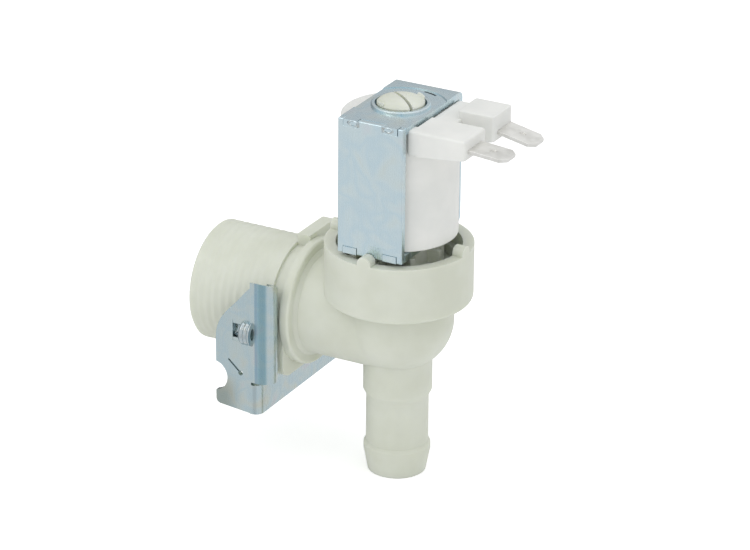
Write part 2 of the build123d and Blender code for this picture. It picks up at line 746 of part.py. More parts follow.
def tine_section():
    """Open bead of the tine, half an ellipse in X-Y, for the -Y side."""
    centre = (web_front - tine_edge_inset, -tine_inner - tine_bead_radius)
    band = Ellipse(tine_bead_reach, tine_bead_radius)
    band -= Ellipse(tine_bead_reach - sheet, tine_bead_radius - sheet)
    band &= Pos(tine_bead_reach / 2, 0) * Rectangle(tine_bead_reach, 3 * tine_bead_radius)
    return Pos(*centre) * band


def screw_socket():
    """Lanced socket of the -Y flange: one half-tube bulges out and the next one bulges in."""
    outer = socket_bore_diameter / 2 + socket_wall
    middle_y = -bracket_half_width + sheet / 2
    halves = []
    for i, side in enumerate((1, -1)):
        start = socket_start + i * socket_half_length
        half = tube_x(outer, socket_bore_diameter / 2, start, start + socket_half_length)
        low = -socket_overlap if side > 0 else -outer
        high = outer if side > 0 else socket_overlap
        keep = block(start, start + socket_half_length, low, high, -outer, outer)
        halves.append(Pos(0, middle_y, socket_z) * (half & keep))
    return halves


def bracket_side():
    """Everything of the bracket on the -Y side: flange, socket, tine, slit and pin hole."""
    middle_y = -bracket_half_width + sheet / 2
    flange = extrude(Plane.XZ.offset(bracket_half_width - sheet) * flange_outline(), sheet)
    outer = socket_bore_diameter / 2 + socket_wall
    window = block(socket_start, socket_start + 2 * socket_half_length, -bracket_half_width - 1,
                   -bracket_half_width + sheet + 1, socket_z - outer + socket_blend,
                   socket_z + outer - socket_blend)
    flange -= window
    flange -= block(web_front - bridge_depth, web_front, -bracket_half_width - 1, 0,
                    tine_bottom - tine_gap, tine_top + 1)
    tine = extrude(Pos(0, 0, tine_bottom) * tine_section(), tine_top - tine_bottom)
    bead_y = -tine_inner - 2 * tine_bead_radius
    bridge = block(web_front - bridge_depth, web_front - tine_edge_inset, bead_y, bead_y + sheet,
                   tine_bottom, tine_top)
    pin = Pos(pin_hole_x, middle_y, pin_hole_z) * Rot(90, 0, 0) * Cylinder(pin_hole_diameter / 2, 3 * sheet)
    slit = Pos(slit_x, middle_y, slit_z) * Rot(0, slit_tilt, 0) * Box(slit_length, 3 * sheet, slit_width)
    return (flange + tine + bridge + screw_socket()) - pin - slit


def make_mounting_bracket():
    """Bent sheet-steel bracket: lower strip across the back of the collar, a flange and tine each side."""
    strip = block(web_front - corner_depth, web_front, -bracket_half_width, bracket_half_width,
                  -bracket_bottom, -strip_top)
    strip = fillet(strip.edges().filter_by(Axis.Z).group_by(Axis.X)[-1], bracket_bend)
    inner = block(0, web_front - sheet, -bracket_half_width + sheet, bracket_half_width - sheet,
                  -bracket_bottom - 1, -strip_top + 1)
    inner = fillet(inner.edges().filter_by(Axis.Z).group_by(Axis.X)[-1], bracket_bend - sheet)
    side = bracket_side() - block(web_front - corner_depth, web_front + 1, -bracket_half_width - 1, 0,
                                  -bracket_bottom - 1, -strip_top)
    bracket = (strip - inner) + side + mirror(side, Plane.XZ)
    return bracket


# ---- assembly -------------------------------------------------------------------------------------

def build_all():
    """Every piece of the valve by its name."""
    return {
        "valve_body": make_valve_body(),
        "inlet_strainer": make_inlet_strainer(),
        "flow_regulator_holder": make_flow_regulator_holder(),
        "flow_regulator_washer": make_flow_regulator_washer(),
        "diaphragm": make_diaphragm(),
        "diaphragm_insert": make_diaphragm_insert(),
        "core_guide": make_core_guide(),
        "plunger": make_plunger(),
        "plunger_tip": make_plunger_tip(),
        "plunger_spring": make_plunger_spring(),
        "yoke_frame": make_yoke_frame(),
        "yoke_front_plate": make_yoke_front_plate(),
        "lower_flux_sleeve": make_flux_sleeve(plate_low, plate_low + lower_sleeve_length),
        "upper_flux_sleeve": make_flux_sleeve(plate_high - upper_sleeve_length, plate_high),
        "coil_bobbin": make_coil_bobbin(),
        "copper_winding": make_copper_winding(),
        "coil_overmould": make_coil_overmould(),
        "terminal_near": make_terminal(near_tab_angle, -1),
        "terminal_far": make_terminal(far_tab_angle, 1),
        "mounting_bracket": make_mounting_bracket(),
    }


os.makedirs("parts", exist_ok=True)
for name, shape in build_all().items():
    export_step(shape, f"parts/{name}.step")
    print(name, "solids", len(shape.solids()), "volume", round(shape.volume, 2), "valid", shape.is_valid)
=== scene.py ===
"""Looks of a solenoid water-inlet valve: fine surfaces, finishes and studio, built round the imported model.

Metres throughout. Origin: centre of the inlet's open end. +X runs into the valve, +Z up the coil axis.
"""
from __future__ import annotations

import json
import logging
from dataclasses import dataclass, field
from enum import Enum
from typing import Any, Sequence

import bmesh
import bpy
import numpy as np
from mathutils import Matrix, Vector

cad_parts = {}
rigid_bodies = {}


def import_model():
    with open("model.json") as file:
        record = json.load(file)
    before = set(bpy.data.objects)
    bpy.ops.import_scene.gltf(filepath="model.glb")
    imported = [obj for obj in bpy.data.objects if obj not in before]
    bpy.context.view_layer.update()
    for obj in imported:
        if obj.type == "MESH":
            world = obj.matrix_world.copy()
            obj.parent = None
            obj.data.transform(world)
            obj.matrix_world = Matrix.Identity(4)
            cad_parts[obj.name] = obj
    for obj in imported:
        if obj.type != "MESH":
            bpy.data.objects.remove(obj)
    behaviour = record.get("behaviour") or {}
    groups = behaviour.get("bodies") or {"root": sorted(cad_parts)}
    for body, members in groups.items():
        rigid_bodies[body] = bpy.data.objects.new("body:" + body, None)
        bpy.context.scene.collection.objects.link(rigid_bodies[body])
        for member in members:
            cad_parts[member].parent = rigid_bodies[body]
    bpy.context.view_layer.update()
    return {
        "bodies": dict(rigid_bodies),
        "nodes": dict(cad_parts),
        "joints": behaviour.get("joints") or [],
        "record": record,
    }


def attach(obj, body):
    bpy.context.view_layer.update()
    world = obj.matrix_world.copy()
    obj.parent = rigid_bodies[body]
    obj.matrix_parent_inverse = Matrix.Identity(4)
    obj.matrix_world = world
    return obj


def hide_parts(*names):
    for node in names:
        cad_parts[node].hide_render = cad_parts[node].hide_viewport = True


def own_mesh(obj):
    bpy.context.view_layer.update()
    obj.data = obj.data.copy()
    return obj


Colour = tuple[float, float, float, float]
Triple = tuple[float, float, float]
Pair = tuple[np.ndarray, np.ndarray]    # such as the points and faces of a surface
Tree = bpy.types.NodeTree
Socket = bpy.types.NodeSocket

MM = 0.001
WELD_DISTANCE = 2e-6
COIL_AXIS_X = 44.4 * MM
FLAT_DEGREES = 0.4              # facets that turn less than this are parts of one flat face

log = logging.getLogger("solenoid_valve")


class Body(Enum):
    """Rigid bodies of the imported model."""

    VALVE = "valve"
    PLUNGER = "plunger"
    DISC = "diaphragm_disc"


# ---- colour and shader helpers --------------------------------------------------------------------


def linear(hex_code: str) -> Colour:
    """Turns an sRGB hex value into linear red, green, blue and alpha.

    Args:
        hex_code: Colour such as "#CFD2C4".

    Returns:
        The linear colour with alpha 1.
    """
    srgb = np.array([int(hex_code[i:i + 2], 16) for i in (1, 3, 5)]) / 255.0
    rgb = np.where(srgb <= 0.04045, srgb / 12.92, ((srgb + 0.055) / 1.055) ** 2.4)
    return (float(rgb[0]), float(rgb[1]), float(rgb[2]), 1.0)


def add_node(tree: Tree, kind: str, settings: dict[str, Any] | None = None,
             inputs: dict[Any, Any] | None = None) -> bpy.types.Node:
    """Adds a shader node, sets its properties and fills its inputs.

    Args:
        tree: Node tree of the material or world.
        kind: Blender's type name of the node.
        settings: Properties of the node itself.
        inputs: Value or output socket for each input, by name or index.

    Returns:
        The new node.
    """
    node = tree.nodes.new(kind)
    for name, value in (settings or {}).items():
        setattr(node, name, value)
    for key, value in (inputs or {}).items():
        if isinstance(value, Socket):
            tree.links.new(value, node.inputs[key])
        else:
            node.inputs[key].default_value = value
    return node


def set_ramp(node: bpy.types.Node, stops: Sequence[tuple[float, Colour]]) -> None:
    """Sets the stops of a colour ramp.

    Args:
        node: Colour ramp node.
        stops: Place and colour of each stop, in order.
    """
    elements = node.color_ramp.elements
    while len(elements) < len(stops):
        elements.new(1.0)
    for element, (place, colour) in zip(elements, stops):
        element.position = place
        element.color = colour


def empty_tree(owner: bpy.types.Material | bpy.types.World) -> Tree:
    """Turns on the nodes of a material or world and clears them."""
    owner.use_nodes = True
    owner.node_tree.nodes.clear()
    return owner.node_tree


@dataclass(frozen=True)
class Finish:
    """What every finish has: a name and the plain numbers of its shader."""

    name: str
    roughness: float
    roughness_spread: float
    ior: float = 1.5
    metallic: float = 0.0

    def start(self) -> tuple[bpy.types.Material, Tree, Socket]:
        """Starts an empty material.

        Returns:
            The material, its node tree and the Object coordinates.
        """
        material = bpy.data.materials.new(self.name)
        tree = empty_tree(material)
        place = add_node(tree, "ShaderNodeTexCoord")
        return material, tree, place.outputs["Object"]

    def varied_roughness(self, tree: Tree, pattern: Socket) -> Socket:
        """Lets the roughness swing about its middle value.

        Args:
            tree: Node tree of the material.
            pattern: Pattern from 0 to 1, most of it between 0.3 and 0.7.

        Returns:
            The roughness.
        """
        spread = add_node(tree, "ShaderNodeMapRange", inputs={
            "Value": pattern, "From Min": 0.3, "From Max": 0.7,
            "To Min": self.roughness - self.roughness_spread,
            "To Max": self.roughness + self.roughness_spread})
        return spread.outputs["Result"]

    def close(self, tree: Tree, inputs: dict[Any, Any]) -> None:
        """Adds the surface shader and the output.

        Args:
            tree: Node tree of the material.
            inputs: Inputs of the surface shader besides metallic and IOR.
        """
        constants: dict[Any, Any] = {"Metallic": self.metallic}
        if self.metallic == 0.0:
            constants["IOR"] = self.ior
        shader = add_node(tree, "ShaderNodeBsdfPrincipled", inputs={**constants, **inputs})
        add_node(tree, "ShaderNodeOutputMaterial", inputs={"Surface": shader.outputs["BSDF"]})


@dataclass(frozen=True)
class MouldedPlastic(Finish):
    """Injection-moulded thermoplastic: even colour, soft flow clouds and the faint grain of the mould."""

    base: str = "#CFD2C4"
    cloud: str = "#C2C4B2"
    cloud_mm: float = 11.0
    grain_mm: float = 0.5           # real erosion grain is about 0.05 mm, drawn ten times as coarse to show
    grain_depth_mm: float = 0.012
    glow: float = 0.0               # share of light that scatters inside
    glow_mm: float = 1.5

    def build(self) -> bpy.types.Material:
        """Makes the material."""
        material, tree, place = self.start()
        cloud = add_node(tree, "ShaderNodeTexNoise", inputs={
            "Vector": place, "Scale": 1.0 / (self.cloud_mm * MM), "Detail": 3.0, "Roughness": 0.55})
        colour = add_node(tree, "ShaderNodeValToRGB", inputs={"Fac": cloud.outputs["Fac"]})
        set_ramp(colour, [(0.34, linear(self.cloud)), (0.62, linear(self.base))])
        grain = add_node(tree, "ShaderNodeTexNoise", inputs={
            "Vector": place, "Scale": 1.0 / (self.grain_mm * MM), "Detail": 2.0, "Roughness": 0.5})
        bump = add_node(tree, "ShaderNodeBump", inputs={
            "Height": grain.outputs["Fac"], "Strength": 0.5, "Distance": self.grain_depth_mm * MM})
        self.close(tree, {
            "Base Color": colour.outputs["Color"],
            "Roughness": self.varied_roughness(tree, grain.outputs["Fac"]),
            "Subsurface Weight": self.glow,
            "Subsurface Radius": (1.0, 1.0, 0.85),
            "Subsurface Scale": self.glow_mm * MM,
            "Normal": bump.outputs["Normal"]})
        return material


@dataclass(frozen=True)
class WorkedMetal(Finish):
    """Metal with a worked surface: turned, drawn or tinned, with fine lines and small tonal clouds."""

    metallic: float = 1.0
    base: str = "#A5A5A2"
    cloud: str = "#8F8F8C"
    cloud_mm: float = 2.5
    cloud_detail: float = 4.0
    cloud_twist: float = 0.0
    line_mm: float = 0.3            # real lines are about 0.02 mm apart, drawn coarse enough to show
    line_axis: Triple = (1.0, 1.0, 1.0)
    line_detail: float = 2.0
    line_strength: float = 0.5
    line_depth_mm: float = 0.004
    rough_along_lines: bool = False     # whether the gloss follows the lines, and not the clouds

    def stops(self) -> list[tuple[float, str]]:
        """Places and colours along the clouds."""
        return [(0.35, self.cloud), (0.60, self.base)]

    def build(self) -> bpy.types.Material:
        """Makes the material."""
        material, tree, place = self.start()
        cloud = add_node(tree, "ShaderNodeTexNoise", inputs={
            "Vector": place, "Scale": 1.0 / (self.cloud_mm * MM), "Detail": self.cloud_detail,
            "Distortion": self.cloud_twist})
        colour = add_node(tree, "ShaderNodeValToRGB", inputs={"Fac": cloud.outputs["Fac"]})
        set_ramp(colour, [(stop, linear(code)) for stop, code in self.stops()])
        stretch = add_node(tree, "ShaderNodeMapping", inputs={"Vector": place, "Scale": self.line_axis})
        lines = add_node(tree, "ShaderNodeTexNoise", inputs={
            "Vector": stretch.outputs["Vector"], "Scale": 1.0 / (self.line_mm * MM),
            "Detail": self.line_detail})
        bump = add_node(tree, "ShaderNodeBump", inputs={
            "Height": lines.outputs["Fac"], "Strength": self.line_strength,
            "Distance": self.line_depth_mm * MM})
        gloss = lines if self.rough_along_lines else cloud
        self.close(tree, {
            "Base Color": self.tinted(tree, place, colour.outputs["Color"]),
            "Roughness": self.varied_roughness(tree, gloss.outputs["Fac"]),
            "Normal": bump.outputs["Normal"]})
        return material

    def tinted(self, tree: Tree, place: Socket, colour: Socket) -> Socket:
        """Adds the zone tints, a painted reflection among them: none on plain metal.

        Args:
            tree: Node tree of the material.
            place: Object coordinates.
            colour: Colour of the plate.

        Returns:
            The tinted colour.
        """
        return colour


@dataclass(frozen=True)
class ZincPlate(WorkedMetal):
    """Bright zinc plate with a clear blue passivation on cold-rolled steel.

    The eye gets a pale bluish metal with faint rainbow clouds, fine rolling lines and small scratches.
    """

    base: str = "#D2E1E5"
    blue: str = "#CADDE5"
    warm: str = "#D4DEDC"
    rose: str = "#D4DCE2"
    cloud_mm: float = 7.0
    cloud_detail: float = 2.0
    cloud_twist: float = 0.6
    line_axis: Triple = (1.0, 1.0, 0.04)
    line_detail: float = 3.0
    line_strength: float = 0.6
    line_depth_mm: float = 0.0012
    rough_along_lines: bool = True

    def stops(self) -> list[tuple[float, str]]:
        """Places and colours of the passivation's rainbow."""
        return [(0.26, self.warm), (0.40, self.base), (0.52, self.blue), (0.63, self.base), (0.78, self.rose)]


@dataclass(frozen=True)
class BeadedZincPlate(ZincPlate):
    """Zinc plate on a deep-drawn sheet.

    The outer side of each bead and the flank beside it carry a painted dark, bluish reflection, and the foot
    is tinted warmer and greyer.
    """

    # Painted dark, bluish reflection on the bead's outer side and on the flank beside it.
    bead_painted_reflection: str = "#CEE7F0"
    bead_painted_reflection_from_mm: Triple = (20.05, 17.50, -14.0)      # along X, outwards, up
    bead_painted_reflection_full_mm: Triple = (20.35, 17.95, -13.6)
    flank_painted_reflection: str = "#CEDFEC"
    flank_painted_reflection_from_mm: Triple = (19.35, 17.50, -14.0)
    flank_painted_reflection_full_mm: Triple = (19.60, 17.95, -13.6)
    foot_tint: str = "#DBD5CA"
    foot_from_mm: Triple = (17.0, 17.0, -11.0)
    foot_full_mm: Triple = (11.5, 17.6, -18.0)

    def zone(self, tree: Tree, axes: Sequence[Socket], start: Triple, full: Triple) -> Socket:
        """Share from 0 to 1 that is full past one corner point and gone before another.

        Args:
            tree: Node tree of the material.
            axes: Place along X, distance from the middle plane and height.
            start: Millimetres at which the zone begins along each.
            full: Millimetres at which it is full.

        Returns:
            The share.
        """
        share = None
        for axis, low, high in zip(axes, start, full):
            ramp = add_node(tree, "ShaderNodeMapRange", {"interpolation_type": "SMOOTHSTEP"}, {
                "Value": axis, "From Min": low * MM, "From Max": high * MM}).outputs["Result"]
            if share is None:
                share = ramp
            else:
                both = add_node(tree, "ShaderNodeMath", {"operation": "MULTIPLY"}, {0: share, 1: ramp})
                share = both.outputs[0]
        return share

    def tinted(self, tree: Tree, place: Socket, colour: Socket) -> Socket:
        """Multiplies the colour by the tint of each zone, the same at +Y and -Y: a painted dark, bluish
        reflection on the bead and its flank, and a warmer, greyer foot.

        Args:
            tree: Node tree of the material.
            place: Object coordinates.
            colour: Colour of the plate.

        Returns:
            The tinted colour.
        """
        parts = add_node(tree, "ShaderNodeSeparateXYZ", inputs={0: place})
        outwards = add_node(tree, "ShaderNodeMath", {"operation": "ABSOLUTE"}, {0: parts.outputs["Y"]})
        axes = (parts.outputs["X"], outwards.outputs[0], parts.outputs["Z"])
        # Zones of the painted dark, bluish reflection: the flank beside the bead, then the bead's outer side.
        flat = self.zone(tree, axes, self.flank_painted_reflection_from_mm, self.flank_painted_reflection_full_mm)
        bead = self.zone(tree, axes, self.bead_painted_reflection_from_mm, self.bead_painted_reflection_full_mm)
        beside = add_node(tree, "ShaderNodeMath", {"operation": "SUBTRACT", "use_clamp": True},
                          {0: flat, 1: bead}).outputs[0]
        foot = self.zone(tree, axes, self.foot_from_mm, self.foot_full_mm)
        for share, tint in ((beside, self.flank_painted_reflection), (bead, self.bead_painted_reflection), (foot, self.foot_tint)):
            mix = add_node(tree, "ShaderNodeMixRGB", {"blend_type": "MULTIPLY"}, {
                "Fac": share, "Color1": colour, "Color2": linear(tint)})
            colour = mix.outputs[0]
        return colour


# Natural polyamide, moulded in a spark-eroded steel mould: milky, faintly yellow-green, satin, and it glows
# a little where it is thin.
NATURAL_POLYAMIDE = MouldedPlastic("natural_polyamide_moulded", 0.46, 0.05, 1.53, base="#DADDD0",
                                   cloud="#D3D6C7", glow=0.45, glow_mm=2.0)
# The guide is the same resin, thinner and so a little lighter.
GUIDE_POLYAMIDE = MouldedPlastic("guide_polyamide_moulded", 0.40, 0.05, 1.53, base="#E0E3D8",
                                 cloud="#D3D6C8", glow=0.45, glow_mm=1.8)
# White thermoplastic polyester of the coil moulding: clean, nearly neutral white, semi-gloss.
WHITE_POLYESTER = MouldedPlastic("white_polyester_moulded", 0.36, 0.05, 1.57, base="#ECECE8", cloud="#E3E4E0",
                                 grain_depth_mm=0.006, glow=0.08, glow_mm=0.8)
# Hidden mouldings: dull off-white.
INNER_PLASTIC = MouldedPlastic("inner_plastic_moulded", 0.50, 0.06, 1.52, base="#D8D7CC", cloud="#CBCABD")
# Moulded nitrile rubber: near black, dull, with a slight grain.
NITRILE_RUBBER = MouldedPlastic("nitrile_rubber_moulded", 0.68, 0.06, 1.52, base="#26272A", cloud="#1D1E20",
                                grain_depth_mm=0.02)
# Cold-rolled strip of the magnetic frame, bent and then plated.
ZINC_FRAME = ZincPlate("zinc_plated_strip", 0.26, 0.05)
# Sheet of the bracket, drawn and then plated: duller and less blue than the strip; its beads carry a painted
# dark, bluish reflection.
ZINC_BRACKET = BeadedZincPlate("zinc_plated_sheet", 0.27, 0.06, base="#C0CDCE", blue="#B8CAD0",
                               warm="#C6CBC3", rose="#C5C7CC", cloud_mm=5.5)
# The pressed thread of the sockets: the same plate, burnished by the tool and so smoother.
ZINC_THREAD = ZincPlate("zinc_plated_pressing", 0.13, 0.03, base="#C2CACB", blue="#B6C4CA",
                        warm="#B2B4AE", rose="#AFB1B6", cloud_mm=1.2)
# Tinned brass blade: soft grey, slightly warm, rolled along its length.
TINNED_BRASS = WorkedMetal("tinned_brass_stamped", 0.38, 0.08, base="#EFEEEA", cloud="#E0DFDA",
                           line_axis=(0.1, 1.0, 1.0))
# Magnetic stainless steel, turned bright.
MAGNETIC_STEEL = WorkedMetal("magnetic_steel_turned", 0.30, 0.05, base="#A3A5A8", cloud="#929497",
                             line_axis=(0.1, 0.1, 1.0))
# Stainless spring wire, drawn and so evenly bright.
SPRING_WIRE = WorkedMetal("stainless_spring_wire_drawn", 0.28, 0.05, base="#B0B0AE", cloud="#9C9C9A")
# Enamelled copper wire: brown-orange with the gloss of its varnish.
COPPER_WIRE = WorkedMetal("copper_wire_enamelled", 0.30, 0.06, base="#B5653A", cloud="#9C5230",
                          line_axis=(0.05, 0.05, 1.0), line_mm=0.35, line_depth_mm=0.05)


# ---- mesh helpers ---------------------------------------------------------------------------------


def place_object(name: str, data: bpy.types.ID) -> bpy.types.Object:
    """Makes an object of a mesh, lamp or camera and puts it in the scene."""
    thing = bpy.data.objects.new(name, data)
    bpy.context.scene.collection.objects.link(thing)
    return thing


def smooth(mesh: bpy.types.Mesh) -> None:
    """Shades every face of a mesh smooth."""
    mesh.polygons.foreach_set("use_smooth", np.ones(len(mesh.polygons), dtype=bool))


def new_piece(name: str, points: np.ndarray, faces: np.ndarray) -> bpy.types.Object:
    """Makes an object from arrays of points and faces.

    Args:
        name: Name of the piece.
        points: Corner places in metres, one row each.
        faces: Corner numbers of each face, one row each.

    Returns:
        The object, smooth shaded.
    """
    mesh = bpy.data.meshes.new(name)
    mesh.from_pydata(points.tolist(), [], faces.tolist())
    mesh.update()
    smooth(mesh)
    return place_object(name, mesh)


def grid_points(x: np.ndarray, y: np.ndarray, z: np.ndarray) -> np.ndarray:
    """Corner places of a grid, row by row, from coordinates that spread over it."""
    return np.stack(np.broadcast_arrays(x, y, z), axis=-1).reshape(-1, 3)


def grid_faces(rows: int, columns: int, wrap: bool) -> np.ndarray:
    """Quads of a grid whose points run row by row.

    Args:
        rows: Number of rows of points.
        columns: Number of columns of points.
        wrap: Whether the last column joins the first.

    Returns:
        Corner numbers, four to a row.
    """
    row = np.arange(rows - 1)[:, None]
    column = np.arange(columns if wrap else columns - 1)[None, :]
    ahead = (column + 1) % columns
    quads = np.stack([row * columns + column, row * columns + ahead,
                      (row + 1) * columns + ahead, (row + 1) * columns + column], axis=-1)
    return quads.reshape(-1, 4)


def join_surfaces(surfaces: Sequence[Pair]) -> Pair:
    """Joins surfaces, each given by its points and faces, into one set of points and faces."""
    starts = np.cumsum([0] + [len(points) for points, _ in surfaces])
    faces = [faces + start for (_, faces), start in zip(surfaces, starts)]
    return np.vstack([points for points, _ in surfaces]), np.vstack(faces)


def add_surface(work: bmesh.types.BMesh, points: np.ndarray, faces: np.ndarray) -> None:
    """Adds the points and faces of a surface to a working mesh."""
    corners = [work.verts.new(point) for point in points]
    for face in faces:
        work.faces.new([corners[i] for i in face])


def merged_copy(frame: dict[str, Any], node: str) -> bmesh.types.BMesh:
    """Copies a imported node's mesh and merges its loose triangles.

    Args:
        frame: The loaded frame.
        node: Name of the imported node.

    Returns:
        The merged mesh, to be finished and freed by the caller.
    """
    work = bmesh.new()
    work.from_mesh(frame["nodes"][node].data)
    bmesh.ops.remove_doubles(work, verts=work.verts, dist=WELD_DISTANCE)
    return work


def open_edges(work: bmesh.types.BMesh) -> int:
    """Counts the edges that don't lie between exactly two faces."""
    return sum(1 for edge in work.edges if len(edge.link_faces) != 2)


def piece_from(work: bmesh.types.BMesh, name: str, sharp_degrees: float = 28.0) -> bpy.types.Object:
    """Turns a working mesh into a smooth-shaded piece with sharp edges above an angle.

    Corner normals that came along with a copied node are dropped: after welding they no
    longer belong to the corners that they were made for.

    Args:
        work: Working mesh, freed here.
        name: Name of the piece.
        sharp_degrees: Edges that turn more than this stay sharp.

    Returns:
        The new object.
    """
    mesh = bpy.data.meshes.new(name)
    work.to_mesh(mesh)
    work.free()
    smooth(mesh)
    carried = mesh.attributes.get("custom_normal")
    if carried is not None:
        mesh.attributes.remove(carried)
    mesh.set_sharp_from_angle(angle=np.radians(sharp_degrees))
    return place_object(name, mesh)


def soften_edges(piece: bpy.types.Object, width_mm: float, angle_degrees: float = 40.0) -> None:
    """Rounds the edges that turn more than an angle, as tooling and tumbling do.

    Args:
        piece: Piece to finish.
        width_mm: Width of the rounding.
        angle_degrees: Smallest turn that is rounded.
    """
    bevel = piece.modifiers.new("edge_rounding", "BEVEL")
    bevel.width = width_mm * MM
    bevel.segments = 2
    bevel.limit_method = "ANGLE"
    bevel.angle_limit = np.radians(angle_degrees)
    bevel.use_clamp_overlap = True
    bevel.harden_normals = True


def even_shading(piece: bpy.types.Object) -> None:
    """Lets large faces lead the smooth shading, so that flats beside rounded edges stay flat."""
    shading = piece.modifiers.new("even_shading", "WEIGHTED_NORMAL")
    shading.keep_sharp = True
    shading.weight = 60


def dress(piece: bpy.types.Object, finish: Finish) -> None:
    """Gives a piece its finish."""
    piece.data.materials.clear()
    piece.data.materials.append(FINISHES[finish.name])


def stand_for(piece: bpy.types.Object, node: str, body: Body) -> None:
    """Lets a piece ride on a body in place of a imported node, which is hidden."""
    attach(piece, body.value)
    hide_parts(node)


def finished_copy(work: bmesh.types.BMesh, node: str, finish: Finish,
                  edge_mm: float) -> bpy.types.Object:
    """Finishes the copy of a solid: whole flat faces, rounded edges and a finish.

    Args:
        work: Working mesh, freed here.
        node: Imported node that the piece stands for.
        finish: Finish of the piece.
        edge_mm: Width of the edges' rounding.

    Returns:
        The piece.
    """
    bmesh.ops.dissolve_limit(work, angle_limit=np.radians(FLAT_DEGREES), verts=work.verts, edges=work.edges)
    log.info("%s: %d open edges", node, open_edges(work))
    piece = piece_from(work, node + ("_plated" if isinstance(finish, ZincPlate) else "_finished"))
    soften_edges(piece, edge_mm)
    dress(piece, finish)
    stand_for(piece, node, Body.VALVE)
    return piece


FINISHES: dict[str, bpy.types.Material] = {}


def prepare_finishes() -> None:
    """Builds every finish once."""
    for finish in (NATURAL_POLYAMIDE, GUIDE_POLYAMIDE, WHITE_POLYESTER, INNER_PLASTIC, NITRILE_RUBBER,
                   ZINC_FRAME, ZINC_BRACKET, ZINC_THREAD, TINNED_BRASS, MAGNETIC_STEEL, SPRING_WIRE,
                   COPPER_WIRE):
        FINISHES[finish.name] = finish.build()


# ---- sub-assemblies -------------------------------------------------------------------------------


@dataclass
class ValveBody:
    """Moulded body: the inlet's thread is cut into a copy of the solid."""

    frame: dict[str, Any]
    thread_radius: float = 13.22 * MM
    thread_start: float = 0.4 * MM
    thread_end: float = 20.1 * MM
    thread_pitch: float = 1.814 * MM
    thread_depth: float = 0.10 * MM
    wave_power: float = 0.8         # under 1 narrows the crests
    fade_in: float = 1.0            # turns over which the thread starts and runs out
    fade_out: float = 1.5
    rows_per_turn: int = 14
    seam: float = 0.04 * MM         # width of the band that joins the thread's far end to the rest
    slack: float = 0.003 * MM       # how far off the cylinder its corners may lie

    def cut_away_cylinder(self, work: bmesh.types.BMesh) -> np.ndarray:
        """Takes the plain cylinder of the thread out of the working mesh.

        Args:
            work: Working mesh of the body.

        Returns:
            The angles at which the rest of the mesh meets the thread, in order.
        """
        slack = self.slack

        def on_thread(vertex: bmesh.types.BMVert) -> bool:
            """Whether a corner lies on the thread's cylinder."""
            place = vertex.co
            radius = (place.y ** 2 + place.z ** 2) ** 0.5
            return (abs(radius - self.thread_radius) < slack
                    and self.thread_start - slack < place.x < self.thread_end + slack)

        doomed = [f for f in work.faces if all(on_thread(v) for v in f.verts) and abs(f.normal.x) < 0.02]
        bmesh.ops.delete(work, geom=doomed, context="FACES")
        rim = [v.co for v in work.verts if on_thread(v) and abs(v.co.x - self.thread_start) < slack]
        return np.unique(np.round([np.arctan2(p.z, p.y) for p in rim], 6))

    def thread_surface(self, angles: np.ndarray) -> Pair:
        """Shallow moulded thread on a grid of (place along X, angle).

        The radius is the thread's own less depth * wave ^ wave_power, where wave is
        (1 - cos(2 pi (x / pitch) - angle)) / 2, and the depth fades in and out at the two ends.

        Args:
            angles: Angles of the columns.

        Returns:
            The points and the faces.
        """
        length = self.thread_end - self.seam - self.thread_start
        rows = int(length / self.thread_pitch * self.rows_per_turn) + 1
        along = np.linspace(self.thread_start, self.thread_start + length, rows)[:, None]
        turn = angles[None, :] / (2 * np.pi)
        wave = 0.5 - 0.5 * np.cos(2 * np.pi * (along / self.thread_pitch - turn))
        fade = (np.clip((along - self.thread_start) / (self.fade_in * self.thread_pitch), 0, 1)
                * np.clip((along[-1] - along) / (self.fade_out * self.thread_pitch), 0, 1))
        radius = self.thread_radius - self.thread_depth * wave ** self.wave_power * fade
        points = grid_points(along, radius * np.cos(angles), radius * np.sin(angles))
        return points, grid_faces(rows, len(angles), True)[:, ::-1]

    def build(self) -> bpy.types.Object:
        """Makes the threaded body.

        Returns:
            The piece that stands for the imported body.
        """
        work = merged_copy(self.frame, "valve_body")
        angles = self.cut_away_cylinder(work)
        add_surface(work, *self.thread_surface(angles))
        bmesh.ops.remove_doubles(work, verts=work.verts, dist=2 * WELD_DISTANCE)
        rims = [e for e in work.edges if len(e.link_faces) == 1]
        bmesh.ops.bridge_loops(work, edges=rims)
        bmesh.ops.recalc_face_normals(work, faces=work.faces)
        log.info("moulded body: %d columns round the thread, %d open edges", len(angles), open_edges(work))
        piece = piece_from(work, "moulded_body")
        even_shading(piece)
        dress(piece, NATURAL_POLYAMIDE)
        stand_for(piece, "valve_body", Body.VALVE)
        return piece


